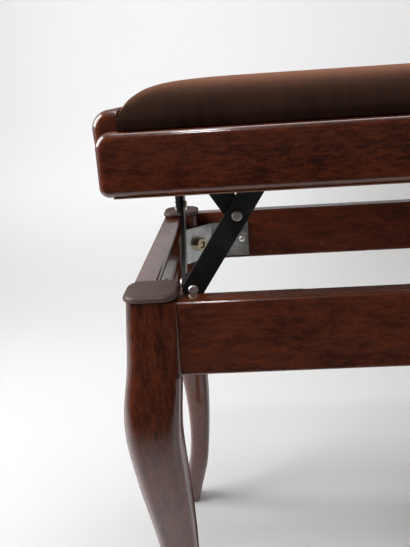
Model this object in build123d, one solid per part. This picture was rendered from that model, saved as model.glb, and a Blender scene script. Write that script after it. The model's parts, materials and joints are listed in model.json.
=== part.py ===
from build123d import *
import math
import os

# Height-adjustable piano stool. Millimetres, +Z up, front towards -Y,
# origin on the floor below the middle of the stool.

# Main sizes
seat_length = 542.0          # front and back rails of the seat
seat_depth = 322.0
legs_setback_x = 5.0         # post faces behind the ends of the seat rails
legs_setback_y = 7.0         # post faces behind the faces of the seat rails
arm_length = 119.0           # long strap of the lift, lower pivot to upper pivot

# Lower frame
rail_top = 389.0             # top edge of the lower rails above the floor
rail_height = 53.5
rail_thickness = 18.0        # front and back rails
side_rail_thickness = 19.6
rail_inset = 1.8             # long rails' faces stand behind the post faces
side_rail_inset = 0.2        # side rails are nearly flush
rail_top_radius = 3.2
rail_bottom_radius = 1.8

# Cabriole leg
post_width = 36.5
leg_corner_share = 0.28      # outer corner radius of a leg section over its width
cap_overhang = 0.6
cap_corner = 11.0
cap_height = 4.5
cap_top_radius = 3.2
cap_bottom_radius = 1.0
neck_height = 0.9            # shadow groove below the cap
neck_inset = 2.2
glide_height = 3.0
glide_diameter = 17.0
# Stations from the floor up: share of the leg's length, width, shift outwards,
# radius of the other three corners over the width
leg_stations = (
    (0.000, 25.0, 17.2, 0.28),
    (0.075, 23.4, 10.0, 0.28),
    (0.155, 23.0, 2.6, 0.28),
    (0.265, 22.8, -2.7, 0.28),
    (0.420, 27.1, -3.7, 0.28),
    (0.525, 31.6, -1.0, 0.28),
    (0.605, 35.4, 2.1, 0.27),
    (0.670, 37.4, 4.5, 0.26),
    (0.735, 39.2, 6.2, 0.24),
    (0.800, 40.0, 5.1, 0.21),
    (0.860, 38.0, 2.6, 0.16),
    (0.930, 36.2, 1.0, 0.11),
    (1.000, 35.4, -0.6, 0.09),
)

# Corner plates that hold the legs
plate_thickness = 2.0
plate_height = 38.0
plate_drop = 12.0            # plate's upper edge below the rail's top edge
plate_flange = 42.0
plate_start = 13.3           # bend line on the long rail, from the post's inner face
plate_screw_run = 35.0       # screw from the bend line
post_flat_gap = 1.5          # plate to the flat cut on the post's inner corner
hanger_diameter = 8.0
hanger_in_wood = 16.0
hanger_out = 5.3             # stud ends inside its nut
nut_across_flats = 13.0
nut_height = 6.5
screw_shank = 3.6
screw_head = 7.2
screw_head_height = 2.2
screw_length = 9.0
assembly_gap = 0.05          # radial room of a fixed pin, screw or stud in its hole

# Seat frame
seat_rail_height = 39.5
seat_rail_thickness = 18.0
seat_top_corner = 10.0
seat_bottom_corner = 6.0
seat_edge_radius = 5.5
end_thickness = 15.0         # raised end rails, at their lower edge
end_proud = 2.0              # end rail beyond the front rail's end, at the bottom
end_flare = 3.2              # further out at the top
end_rise = 12.5              # end rail above the front rail
end_outer_radius = 12.0
end_edge_radius = 6.0
end_inner_radius = 1.2
felt_thickness = 0.8
felt_width = 12.0
felt_setback = 8.5           # felt strip's end from the rail's end

# Upholstered seat
board_thickness = 8.0
board_margin = 5.0           # cover and padding around the board
cushion_side_gap = 0.5       # cushion to the end rails
cushion_setback = 3.0        # cushion behind the front rail's face
cushion_corner = 5.0
soft_gap = 0.3
# Stations of the cushion: height above the seat rails, set-in over its half depth
cushion_stations = (
    (0.3, 0.008),
    (7.0, 0.000),
    (12.0, 0.015),
    (17.5, 0.057),
    (23.0, 0.127),
    (26.6, 0.235),
    (28.6, 0.380),
    (29.5, 0.557),
)

# Lifting mechanism: four alike pairs of flat straps
arm_width = 15.0
link_width = 14.0
strap_thickness = 2.5
rest_angle = 57.2            # long straps from the level, as photographed
highest_angle = 66.5
lowest_gap = 4.0             # seat rails above the leg caps when lowered
pivot_over_rail = 1.5        # lower pivots above the lower rails
pivot_inset = 9.9            # front pivot from the post's inner face
end_pivot_inset = 17.2       # end pivot from the front rail's inner face
strap_standoff = 2.0         # front straps from the rail beside them
end_standoff = 1.75          # end straps from the post beside them
seat_pivot_up = 29.5         # upper pivots above the seat rail's lower edge
layer_gap = 0.3              # between straps that lie on each other
head_gap = 0.15              # below a rivet's head, where the strap turns
running_gap = 0.05           # radial clearance of a turning strap
rivet_diameter = 5.0
rivet_head = 7.0
rivet_head_height = 1.7
shoulder_diameter = 9.0
bracket_thickness = 2.0
bracket_margin = 7.0         # metal around a lower pivot
bracket_low = 3.0            # bracket's long part below the rail's top edge
bracket_depth = 11.0         # its lower edge below the rail's top edge
bracket_foot_start = 4.0     # foot beyond the corner plate's flange
bracket_foot_length = 26.0
bracket_foot_drop = 42.0     # foot's lower edge below the rail's top edge

# Guide rails under the seat
guide_thickness = 2.5
guide_height = 20.0
guide_end = 12.0             # metal beyond the last pivot or slot
slot_play = 0.1
slot_spare = 1.0
front_guide_screws = 5
end_guide_screws = 2

# Screw drive
crossbar_diameter = 6.0
crossbar_collar = 10.0
crossbar_collar_width = 1.4
spindle_diameter = 10.0
spindle_drop = 17.0          # spindle below the cross-bars
spindle_middle_diameter = 8.5
spindle_middle_length = 150.0
spindle_collar = 16.0
spindle_collar_width = 4.0
nut_block_length = 22.0
nut_block_width = 20.0
nut_block_wall = 6.0
bush_outer = 14.0
bush_flange = 20.0
bush_flange_height = 1.5
knob_diameter = 36.0
knob_length = 21.0
knob_neck = 22.0
knob_neck_length = 5.0
knob_socket = 14.0
knob_front_radius = 7.0
knob_back_radius = 4.0

# Places worked out from the sizes above
post_out_x = seat_length / 2 - legs_setback_x
post_out_y = seat_depth / 2 - legs_setback_y
post_in_x = post_out_x - post_width
post_in_y = post_out_y - post_width
rail_bottom = rail_top - rail_height
long_rail_out = post_out_y - rail_inset
long_rail_in = long_rail_out - rail_thickness
side_rail_out = post_out_x - side_rail_inset
side_rail_in = side_rail_out - side_rail_thickness
cap_top = rail_top + neck_height + cap_height

pivot_z = rail_top + pivot_over_rail
pivot_x = -(post_in_x - pivot_inset)
strap_y = -(long_rail_in - strap_standoff)
end_pivot_y = -(long_rail_in - end_pivot_inset)
end_strap_x = -(post_in_x - end_standoff)
rest_rise = arm_length * math.sin(math.radians(rest_angle))
rest_reach = arm_length * math.cos(math.radians(rest_angle))
seat_pivot_z = pivot_z + rest_rise
seat_bottom = seat_pivot_z - seat_pivot_up
seat_top = seat_bottom + seat_rail_height
lowest_rise = rest_rise - (seat_bottom - cap_top - lowest_gap)
lowest_reach = math.sqrt(arm_length**2 - lowest_rise**2)
highest_reach = arm_length * math.cos(math.radians(highest_angle))

seat_front = seat_depth / 2
seat_rail_in = seat_front - seat_rail_thickness
end_out = seat_length / 2 + end_proud
end_in = end_out - end_thickness
spindle_z = seat_pivot_z - spindle_drop
rivet_hole = rivet_diameter + 2 * running_gap
fixed_hole = rivet_diameter + 2 * assembly_gap


def block(x0, x1, y0, y1, z0, z1):
    """Box between two corners."""
    centre = Pos((x0 + x1) / 2, (y0 + y1) / 2, (z0 + z1) / 2)
    return centre * Box(abs(x1 - x0), abs(y1 - y0), abs(z1 - z0))


def rod(radius, start, end):
    """Round bar between two points."""
    path = Vector(*end) - Vector(*start)
    plane = Plane(origin=start, z_dir=path)
    return extrude(plane * Circle(radius), path.length)


def turned(steps, start, direction):
    """Turned piece: (radius, length) steps one after another along a direction."""
    points = [(0, 0)]
    along = 0.0
    for radius, length in steps:
        points.append((radius, along))
        along += length
        points.append((radius, along))
    points.append((0, along))
    outline = make_face(Polyline(*points, close=True))
    body = revolve(Plane.XZ * outline, Axis.Z)
    plane = Plane(origin=start, z_dir=direction)
    return plane.location * body


def half_turn(shape):
    """The same piece at the opposite corner of the stool."""
    return Rot(0, 0, 180) * shape


def four_corners(shape):
    """Front left piece repeated at the four corners."""
    right = mirror(shape, about=Plane.YZ)
    back = mirror(shape, about=Plane.XZ)
    return {
        "front_left": shape,
        "front_right": right,
        "back_left": back,
        "back_right": mirror(right, about=Plane.XZ),
    }


def as_group(solids):
    """Separate solids kept together in one node."""
    return Compound(children=[Solid(s.solid().wrapped) for s in solids])


# Legs and lower rails


def corner_plate_path():
    """Bend points of the front left corner plate, on the rails' inner faces."""
    first = Vector(-(post_in_x - plate_start), -long_rail_in)
    run = side_rail_in + first.X
    second = Vector(-side_rail_in, first.Y + run)
    return first, second


def hanger_line():
    """Middle of the corner plate's slanted part and the way out of the post."""
    first, second = corner_plate_path()
    middle = (first + second) * 0.5
    height = rail_top - plate_drop - plate_height / 2
    return Vector(middle.X, middle.Y, height), Vector(1, 1, 0).normalized()


def leg_section(width, inner_share):
    """Square section whose outer corner is the roundest."""
    across = Axis((0, 0, 0), (1, 1, 0))
    section = Rectangle(width, width)
    section = fillet(section.vertices().sort_by(across)[1:], width * inner_share)
    return fillet(section.vertices().sort_by(across)[:1], width * leg_corner_share)


def leg():
    """Front left cabriole leg with its cap, machined flat behind the rails."""
    centre = post_out_x - post_width / 2, post_out_y - post_width / 2
    length = rail_top - glide_height
    sections = []
    for share, width, shift, inner_share in leg_stations:
        place = Pos(-(centre[0] + shift), -(centre[1] + shift), glide_height + share * length)
        sections.append(place * leg_section(width, inner_share))
    body = loft(sections)
    shoulder = post_width / 2
    body += block(-post_in_x - shoulder, -post_in_x, -post_in_y - shoulder, -post_in_y, rail_bottom, rail_top)
    top = Pos(-centre[0], -centre[1], rail_top)
    neck_width = post_width - 2 * neck_inset
    neck = extrude(top * RectangleRounded(neck_width, neck_width, cap_corner - neck_inset), neck_height)
    cap_width = post_width + 2 * cap_overhang
    cap_base = Pos(0, 0, neck_height) * top
    cap = extrude(cap_base * RectangleRounded(cap_width, cap_width, cap_corner), cap_height)
    cap = fillet(cap.faces().sort_by(Axis.Z)[-1].edges(), cap_top_radius)
    cap = fillet(cap.faces().sort_by(Axis.Z)[0].edges(), cap_bottom_radius)
    body = body + neck + cap
    far = post_width
    body -= block(-post_in_x, -post_in_x + far, -post_out_y - far, far - post_in_y, rail_bottom, rail_top)
    body -= block(-post_out_x - far, far - post_in_x, -post_in_y, far - post_in_y, rail_bottom, rail_top)
    middle, way = hanger_line()
    flat = middle - way * post_flat_gap
    plane = Plane(origin=(flat.X, flat.Y, rail_bottom), z_dir=way)
    body -= extrude(plane * Rectangle(2 * far, 2 * rail_height), far)
    body -= rod(hanger_diameter / 2 + assembly_gap, tuple(middle - way * hanger_in_wood), tuple(middle))
    return body.solid()


def softened(rail, axis):
    """Rail with its long edges rounded, the upper ones more."""
    rail = fillet(rail.edges().filter_by(axis).group_by(Axis.Z)[-1], rail_top_radius)
    return fillet(rail.edges().filter_by(axis).group_by(Axis.Z)[0], rail_bottom_radius)


def long_rail():
    """Lower front rail between the posts."""
    rail = block(-post_in_x, post_in_x, -long_rail_out, -long_rail_in, rail_bottom, rail_top)
    return softened(rail, Axis.X)


def side_rail():
    """Lower left rail between the posts."""
    rail = block(-side_rail_out, -side_rail_in, -post_in_y, post_in_y, rail_bottom, rail_top)
    return softened(rail, Axis.Y)


def plate_screw_places():
    """Screw points on the front left plate's flanges and the ways out of the rails."""
    first, second = corner_plate_path()
    height = rail_top - plate_drop - plate_height / 2
    front = Vector(first.X + plate_screw_run, -long_rail_in, height)
    side = Vector(-side_rail_in, second.Y + plate_screw_run, height)
    return (front, Vector(0, 1, 0)), (side, Vector(1, 0, 0))


def corner_plate():
    """Bent sheet across the front left corner, with holes for its stud and screws."""
    first, second = corner_plate_path()
    inner = plate_thickness
    bend = plate_thickness * math.tan(math.radians(22.5))
    outline = Polyline(
        (first.X + plate_flange, first.Y),
        (first.X, first.Y),
        (second.X, second.Y),
        (second.X, second.Y + plate_flange),
        (second.X + inner, second.Y + plate_flange),
        (second.X + inner, second.Y + bend),
        (first.X + bend, first.Y + inner),
        (first.X + plate_flange, first.Y + inner),
        close=True,
    )
    low = rail_top - plate_drop - plate_height
    plate = extrude(Pos(0, 0, low) * make_face(outline), plate_height)
    middle, way = hanger_line()
    reach = way * (2 * plate_thickness)
    plate -= rod(hanger_diameter / 2 + assembly_gap, tuple(middle - reach), tuple(middle + reach))
    for place, out in plate_screw_places():
        plate -= rod(screw_shank / 2 + assembly_gap, tuple(place), tuple(place + out * 2 * plate_thickness))
    return plate


def screw(place, out, stack):
    """Round-headed screw through a sheet of the given thickness."""
    start = place - out * (screw_length - stack)
    steps = ((screw_shank / 2, screw_length), (screw_head / 2, screw_head_height))
    body = turned(steps, tuple(start), tuple(out))
    dome = body.faces().sort_by(Axis(tuple(start), tuple(out)))[-1].edges()
    return fillet(dome, screw_head_height * 0.6)


def screw_hole(place, out, stack):
    """Pilot hole of that screw, in the wood below the sheet."""
    deep = screw_length - stack
    return rod(screw_shank / 2 + assembly_gap, tuple(place - out * deep), tuple(place))


def hanger_bolt():
    """Stud in the front left post, through the corner plate."""
    middle, way = hanger_line()
    start = middle - way * hanger_in_wood
    end = middle + way * (plate_thickness + hanger_out)
    return rod(hanger_diameter / 2, tuple(start), tuple(end))


def hanger_nut():
    """Hexagon nut on the stud."""
    middle, way = hanger_line()
    seat = middle + way * plate_thickness
    plane = Plane(origin=tuple(seat), z_dir=tuple(way))
    across_corners = nut_across_flats / math.cos(math.radians(30))
    nut = extrude(plane * RegularPolygon(across_corners / 2, 6), nut_height)
    hole = rod(hanger_diameter / 2 + assembly_gap, tuple(seat), tuple(seat + way * nut_height))
    return nut - hole


def foot_glide():
    """Round glide nailed under the front left foot."""
    shift = leg_stations[0][2]
    x = -(post_out_x - post_width / 2 + shift)
    y = -(post_out_y - post_width / 2 + shift)
    glide = extrude(Pos(x, y, 0) * Circle(glide_diameter / 2), glide_height)
    return fillet(glide.faces().sort_by(Axis.Z)[0].edges(), glide_height / 3)


# Lower pivot brackets

bracket_y = strap_y + strap_thickness + layer_gap
bracket_x = end_strap_x + strap_thickness + layer_gap
plate_flange_end = corner_plate_path()[0].X + plate_flange
foot_start = plate_flange_end + bracket_foot_start
foot_end = foot_start + bracket_foot_length
ear_top = pivot_z + bracket_margin
bracket_bottom = rail_top - bracket_depth


def bracket_screw_places():
    """Two screws through the bracket's foot into the front rail."""
    low = rail_top - bracket_foot_drop
    height = (low + bracket_bottom) / 2
    quarter = bracket_foot_length / 4
    out = Vector(0, 1, 0)
    face = -long_rail_in
    return [(Vector(x, face, height), out) for x in (foot_start + quarter, foot_end - quarter)]


def pivot_bracket():
    """Bent sheet that carries the front and the left strap, screwed to the front rail."""
    back = bracket_y + bracket_thickness
    long_top = rail_top - bracket_low
    front = block(bracket_x, foot_end, bracket_y, back, bracket_bottom, long_top)
    ear_end = pivot_x + bracket_margin
    ear = block(bracket_x, ear_end, bracket_y, back, bracket_bottom, pivot_z)
    ear += Pos(pivot_x, 0, pivot_z) * rod(bracket_margin, (0, bracket_y, 0), (0, back, 0))
    ear_corner = block(bracket_x, pivot_x, bracket_y, back, pivot_z, ear_top)
    inner = bracket_x + bracket_thickness
    end_flange = block(bracket_x, inner, bracket_y, end_pivot_y + bracket_margin, bracket_bottom, pivot_z)
    end_flange += block(bracket_x, inner, bracket_y, end_pivot_y, pivot_z, ear_top)
    end_flange += rod(bracket_margin, (bracket_x, end_pivot_y, pivot_z), (inner, end_pivot_y, pivot_z))
    face = -long_rail_in
    shelf_low = bracket_bottom - bracket_thickness
    shelf = block(foot_start, foot_end, face, back, shelf_low, bracket_bottom)
    foot = block(foot_start, foot_end, face, face + bracket_thickness, rail_top - bracket_foot_drop, bracket_bottom)
    body = front + ear + ear_corner + end_flange + shelf + foot
    body -= rod(fixed_hole / 2, (pivot_x, bracket_y, pivot_z), (pivot_x, back, pivot_z))
    body -= rod(fixed_hole / 2, (bracket_x, end_pivot_y, pivot_z), (inner, end_pivot_y, pivot_z))
    for place, out in bracket_screw_places():
        body -= rod(screw_shank / 2 + assembly_gap, tuple(place), tuple(place + out * bracket_thickness))
    return body


# Straps, rivets and guide rails. Each is drawn for the front left corner in a
# flat scheme: u runs along the rail, v across it away from the strap's rail side.


def to_front(u, v, z):
    """Point of the front scheme: u along +X from the lower pivot, v along +Y."""
    return (pivot_x + u, strap_y + v, z)


def to_end(u, v, z):
    """Point of the left scheme: u along +Y from the lower pivot, v along +X."""
    return (end_strap_x + v, end_pivot_y + u, z)


def strap(scheme, start, end, layer, width):
    """Flat strap with round ends around its two pivots."""
    middles = (scheme(start[0], layer, start[1]), scheme(end[0], layer, end[1]))
    reach = Vector(*scheme(0, 1, 0)) - Vector(*scheme(0, 0, 0))
    along = Vector(*middles[1]) - Vector(*middles[0])
    plane = Plane(origin=middles[0], x_dir=along, z_dir=reach)
    outline = Pos(along.length / 2, 0) * SlotCenterToCenter(along.length, width)
    return extrude(plane * outline, strap_thickness)


def pin_hole(scheme, point, diameter, near, far):
    """Cylinder through a pivot, to be cut from a strap or sheet."""
    return rod(diameter / 2, scheme(point[0], near, point[1]), scheme(point[0], far, point[1]))


lower_point = (0.0, pivot_z)
middle_point = (rest_reach / 2, pivot_z + rest_rise / 2)
slide_point = (rest_reach, seat_pivot_z)
fixed_point = (0.0, seat_pivot_z)

# Layers along v: the long strap starts at 0 and the bracket lies behind it. The short
# strap lies behind the front strap, but on the outer side of the end strap.
bracket_layer = strap_thickness + layer_gap
link_layer = {to_front: bracket_layer, to_end: -bracket_layer}
guide_face = {to_front: -layer_gap, to_end: -bracket_layer - layer_gap}


def arm(scheme):
    """Long strap from the lower pivot to the sliding upper pivot."""
    body = strap(scheme, lower_point, slide_point, 0.0, arm_width)
    body -= pin_hole(scheme, lower_point, rivet_hole, 0.0, strap_thickness)
    body -= pin_hole(scheme, middle_point, fixed_hole, 0.0, strap_thickness)
    body -= pin_hole(scheme, slide_point, crossbar_diameter + 2 * running_gap, 0.0, strap_thickness)
    return body


def link(scheme):
    """Short strap from the long strap's middle to the fixed upper pivot."""
    near = link_layer[scheme]
    body = strap(scheme, middle_point, fixed_point, near, link_width)
    for point in (middle_point, fixed_point):
        body -= pin_hole(scheme, point, rivet_hole, near, near + strap_thickness)
    return body


def rivet(scheme, point, near, far, shoulder=(), tail=True):
    """Rivet with a domed head, a domed or flush tail, and a shoulder between two layers."""
    start = Vector(*scheme(point[0], near - rivet_head_height, point[1]))
    along = Vector(*scheme(0, 1, 0)) - Vector(*scheme(0, 0, 0))
    head = (rivet_head / 2, rivet_head_height)
    shank = rivet_diameter / 2
    steps = [head, (shank, far - near)]
    if shoulder:
        low, high = shoulder
        steps = [head, (shank, low - near), (shoulder_diameter / 2, high - low), (shank, far - high)]
    if tail:
        steps.append(head)
    body = turned(steps, tuple(start), tuple(along))
    ends = body.faces().sort_by(Axis(tuple(start), tuple(along)))
    domes = ends[0].edges() + ends[-1].edges() if tail else ends[0].edges()
    return fillet(domes, rivet_head_height * 0.65)


def lower_rivet(scheme):
    """Rivet of the lower pivot, flush in the bracket."""
    return rivet(scheme, lower_point, -head_gap, bracket_layer + bracket_thickness, tail=False)


def middle_rivet(scheme):
    """Rivet between the two straps, fast in the long one."""
    near = min(0.0, link_layer[scheme] - head_gap)
    far = max(strap_thickness, link_layer[scheme] + strap_thickness + head_gap)
    return rivet(scheme, middle_point, near, far)


def upper_rivet(scheme):
    """Rivet between the guide rail and the short strap, shouldered where they stand apart."""
    near = guide_face[scheme] - guide_thickness
    low = link_layer[scheme]
    shoulder = (guide_face[scheme], low - head_gap) if low - guide_face[scheme] > strap_thickness else ()
    return rivet(scheme, fixed_point, near, low + strap_thickness + head_gap, shoulder)


def guide_slot(scheme, low, high):
    """Long slot that a cross-bar slides in, between two places along the rail."""
    room = crossbar_diameter / 2 + slot_play
    first = low - slot_spare
    last = high + slot_spare
    plane_origin = scheme((first + last) / 2, guide_face[scheme] - guide_thickness, seat_pivot_z)
    along = Vector(*scheme(1, 0, 0)) - Vector(*scheme(0, 0, 0))
    across = Vector(*scheme(0, 1, 0)) - Vector(*scheme(0, 0, 0))
    plane = Plane(origin=plane_origin, x_dir=along, z_dir=across)
    return extrude(plane * SlotCenterToCenter(last - first, 2 * room), guide_thickness)


def guide_rail(scheme, web_width, first, last, slots):
    """Angle under the seat board: slotted flange, and a web to the seat rail."""
    face = guide_face[scheme]
    back = face - guide_thickness
    low = seat_top - guide_height
    flange = block(*interleave(scheme(first, back, low), scheme(last, face, seat_top)))
    web_start = scheme(first, face - web_width, seat_top - guide_thickness)
    web = block(*interleave(web_start, scheme(last, face, seat_top)))
    body = flange + web
    body -= pin_hole(scheme, fixed_point, fixed_hole, back, face)
    for low_end, high_end in slots:
        body -= guide_slot(scheme, low_end, high_end)
    return body


def interleave(first, second):
    """Corner pair as x0, x1, y0, y1, z0, z1."""
    return first[0], second[0], first[1], second[1], first[2], second[2]


front_web = strap_y + guide_face[to_front] + seat_rail_in
end_web = end_strap_x + guide_face[to_end] + end_in
own_slot = (highest_reach, lowest_reach)
far_slot = (-2 * pivot_x - lowest_reach, -2 * pivot_x - highest_reach)
front_guide_span = (-guide_end, far_slot[1] + guide_end)
end_guide_span = (-guide_end, own_slot[1] + guide_end)


def guide_screw_places(scheme, span, web_width, count):
    """Screws up through a guide rail's web into the seat board."""
    step = (span[1] - span[0] - 2 * guide_end) / (count - 1)
    across = guide_face[scheme] - (web_width + guide_thickness) / 2
    places = []
    for index in range(count):
        u = span[0] + guide_end + index * step
        places.append((Vector(*scheme(u, across, seat_top)), Vector(0, 0, -1)))
    return places


# Seat frame, board and cushion


def seat_rail():
    """Front rail of the seat, with its rounded corners and edges."""
    outline = Rectangle(seat_length, seat_rail_height)
    outline = fillet(outline.vertices().group_by(Axis.Y)[-1], seat_top_corner)
    outline = fillet(outline.vertices().group_by(Axis.Y)[0], seat_bottom_corner)
    middle = Pos(0, -seat_rail_in, seat_bottom + seat_rail_height / 2)
    rail = extrude(middle * (Plane.XZ * outline), seat_rail_thickness)
    front_edges = rail.faces().sort_by(Axis.Y)[0].edges()
    return fillet(front_edges, seat_edge_radius)


def end_rail():
    """Raised left end rail between the front and back rails, bored for the spindle."""
    top = seat_top + end_rise
    flare = end_out + end_flare
    outline = make_face(
        Polyline((-end_in, seat_bottom), (-end_out, seat_bottom), (-flare, top), (-end_in, top), close=True)
    )
    upper = outline.vertices().sort_by(Axis.Y)[-2:].sort_by(Axis.X)
    outline = fillet(upper[0], end_outer_radius)
    rail = extrude(Pos(0, seat_rail_in, 0) * (Plane.XZ * outline), 2 * seat_rail_in)
    ends = rail.faces().sort_by(Axis.Y)
    rims = [e for e in ends[0].edges() + ends[-1].edges() if e.center().Z > seat_top]
    rail = fillet(rims, end_edge_radius)
    inner = rail.faces().filter_by(Axis.X).sort_by(Axis.X)[-1]
    rail = fillet([e for e in inner.edges() if e.center().Z > seat_top], end_inner_radius)
    bore = bush_outer / 2 + assembly_gap
    rail -= rod(bore, (-flare - bush_flange, 0, spindle_z), (-end_in, 0, spindle_z))
    seat_face = rod(bush_flange / 2 + assembly_gap, (-flare, 0, spindle_z), (-bush_face(), 0, spindle_z))
    return rail - seat_face


def bush_face():
    """Depth of the flat spot-faced for the bush's flange on the end rail."""
    low = spindle_z - bush_flange / 2 - seat_bottom
    slope = end_flare / (seat_rail_height + end_rise)
    return end_out + slope * low


def felt_strip():
    """Felt under the front rail of the seat."""
    half = seat_length / 2 - felt_setback
    near = -(seat_front - seat_rail_thickness / 2) - felt_width / 2
    return block(-half, half, near, near + felt_width, seat_bottom - felt_thickness, seat_bottom)


cushion_half_x = end_in - cushion_side_gap
cushion_half_y = seat_front - cushion_setback
board_half_x = cushion_half_x - board_margin
board_half_y = cushion_half_y - board_margin


def seat_board():
    """Plywood board across the seat rails, with pilot holes for the guide screws."""
    top = seat_top + board_thickness
    board = block(-board_half_x, board_half_x, -board_half_y, board_half_y, seat_top, top)
    holes = [screw_hole(place, out, guide_thickness) for place, out in all_guide_screws()]
    return board - holes


def cushion():
    """Crowned cushion whose cover is drawn in under the board's edge."""
    sections = []
    for height, share in cushion_stations:
        inset = share * cushion_half_y
        width = 2 * (cushion_half_x - inset)
        depth = 2 * (cushion_half_y - inset)
        radius = cushion_corner + inset / 2
        sections.append(Pos(0, 0, seat_top + height) * RectangleRounded(width, depth, radius))
    body = loft(sections, ruled=True)
    pocket_x = board_half_x + soft_gap
    pocket_y = board_half_y + soft_gap
    pocket_top = seat_top + board_thickness + soft_gap
    return body - block(-pocket_x, pocket_x, -pocket_y, pocket_y, seat_top, pocket_top)


# Screw drive


def crossbar():
    """Round bar through the front strap's upper pivot, collared outside both guide rails."""
    x = pivot_x + rest_reach
    outer = -(strap_y + guide_face[to_front] - guide_thickness - layer_gap)
    steps = (
        (crossbar_collar / 2, crossbar_collar_width),
        (crossbar_diameter / 2, 2 * outer),
        (crossbar_collar / 2, crossbar_collar_width),
    )
    start = (x, -outer - crossbar_collar_width, seat_pivot_z)
    return turned(steps, start, (0, 1, 0))


def nut_block():
    """Threaded block that the spindle draws along, carried by the cross-bar."""
    x = pivot_x + rest_reach
    half = nut_block_length / 2
    side = nut_block_width / 2
    low = spindle_z - spindle_diameter / 2 - nut_block_wall
    high = seat_pivot_z + crossbar_diameter / 2 + nut_block_wall
    body = block(x - half, x + half, -side, side, low, high)
    body = fillet(body.edges().filter_by(Axis.Z), nut_block_wall / 4)
    body -= rod(crossbar_diameter / 2 + assembly_gap, (x, -side, seat_pivot_z), (x, side, seat_pivot_z))
    nut_radius = spindle_diameter / 2 + running_gap
    return body - rod(nut_radius, (x - half, 0, spindle_z), (x + half, 0, spindle_z))


def slide_pin():
    """Headed pin of the left strap, sliding in the left guide rail."""
    outer = guide_face[to_end] - guide_thickness - layer_gap
    start = Vector(*to_end(slide_point[0], outer - crossbar_collar_width, seat_pivot_z))
    shaft = strap_thickness - outer
    steps = (
        (crossbar_collar / 2, crossbar_collar_width),
        (crossbar_diameter / 2, shaft),
        (crossbar_collar / 2, crossbar_collar_width),
    )
    return turned(steps, tuple(start), (1, 0, 0))


knob_face = bush_face() + bush_flange_height + layer_gap


def spindle():
    """Spindle with a thread of each hand, a plain middle, and a collar inside each end rail."""
    tip = knob_face + knob_socket
    collar_end = end_in - layer_gap
    collar_start = collar_end - spindle_collar_width
    radius = spindle_diameter / 2
    middle = spindle_middle_length / 2
    steps = (
        (radius, tip - collar_end),
        (spindle_collar / 2, spindle_collar_width),
        (radius, collar_start - middle),
        (spindle_middle_diameter / 2, spindle_middle_length),
        (radius, collar_start - middle),
        (spindle_collar / 2, spindle_collar_width),
        (radius, tip - collar_end),
    )
    return turned(steps, (-tip, 0, spindle_z), (1, 0, 0))


def bush():
    """Flanged bush of the spindle in the left end rail."""
    face = bush_face()
    start = (-face - bush_flange_height, 0, spindle_z)
    steps = ((bush_flange / 2, bush_flange_height), (bush_outer / 2, face - end_in))
    body = turned(steps, start, (1, 0, 0))
    return body - rod(spindle_diameter / 2 + running_gap, start, (-end_in, 0, spindle_z))


def knob():
    """Turned hand knob on the spindle's left end."""
    steps = ((knob_neck / 2, knob_neck_length), (knob_diameter / 2, knob_length - knob_neck_length))
    body = turned(steps, (-knob_face, 0, spindle_z), (-1, 0, 0))
    rims = body.edges().filter_by(GeomType.CIRCLE).group_by(SortBy.RADIUS)[-1].sort_by(Axis.X)
    body = fillet(rims[:1], knob_front_radius)
    rims = body.edges().filter_by(GeomType.CIRCLE).group_by(SortBy.RADIUS)[-1].sort_by(Axis.X)
    body = fillet(rims[-1:], knob_back_radius)
    socket = (-knob_face - knob_socket - assembly_gap, 0, spindle_z)
    return body - rod(spindle_diameter / 2 + assembly_gap, (-knob_face, 0, spindle_z), socket)


def all_guide_screws():
    """Screw places of the four guide rails."""
    left_half = guide_screw_places(to_front, front_guide_span, front_web, front_guide_screws)
    left_half += guide_screw_places(to_end, end_guide_span, end_web, end_guide_screws)
    turn = Axis.Z
    return left_half + [(place.rotate(turn, 180), out) for place, out in left_half]


# Assembly

parts = {}

corner_screws = [screw(place, out, plate_thickness) for place, out in plate_screw_places()]
front_left_leg = leg()
for corner, shape in four_corners(front_left_leg).items():
    parts[f"leg_{corner}"] = shape
for corner, shape in four_corners(corner_plate()).items():
    parts[f"corner_plate_{corner}"] = shape
parts["hanger_bolts"] = as_group(four_corners(hanger_bolt()).values())
parts["hanger_nuts"] = as_group(four_corners(hanger_nut()).values())
parts["foot_glides"] = as_group(four_corners(foot_glide()).values())
all_plate_screws = [s for one in corner_screws for s in four_corners(one).values()]
parts["plate_screws"] = as_group(all_plate_screws)

front_holes = [screw_hole(place, out, plate_thickness) for place, out in plate_screw_places()[:1]]
front_holes += [mirror(hole, about=Plane.YZ) for hole in front_holes]
front_holes += [screw_hole(place, out, bracket_thickness) for place, out in bracket_screw_places()]
parts["lower_front_rail"] = long_rail() - front_holes
parts["lower_back_rail"] = half_turn(parts["lower_front_rail"])
side_holes = [screw_hole(place, out, plate_thickness) for place, out in plate_screw_places()[1:]]
side_holes += [mirror(hole, about=Plane.XZ) for hole in side_holes]
parts["lower_left_rail"] = side_rail() - side_holes
parts["lower_right_rail"] = half_turn(parts["lower_left_rail"])

parts["front_pivot_bracket"] = pivot_bracket()
parts["back_pivot_bracket"] = half_turn(parts["front_pivot_bracket"])
bracket_screws = [screw(place, out, bracket_thickness) for place, out in bracket_screw_places()]
parts["bracket_screws"] = as_group(bracket_screws + [half_turn(s) for s in bracket_screws])
base_rivets = [lower_rivet(to_front), lower_rivet(to_end)]
parts["lower_rivets"] = as_group(base_rivets + [half_turn(s) for s in base_rivets])

parts["seat_front_rail"] = seat_rail()
parts["seat_back_rail"] = half_turn(parts["seat_front_rail"])
parts["seat_left_end"] = end_rail()
parts["seat_right_end"] = half_turn(parts["seat_left_end"])
front_felt = felt_strip()
parts["felt_strips"] = as_group([front_felt, half_turn(front_felt)])
parts["seat_board"] = seat_board()
parts["cushion"] = cushion()

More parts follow.
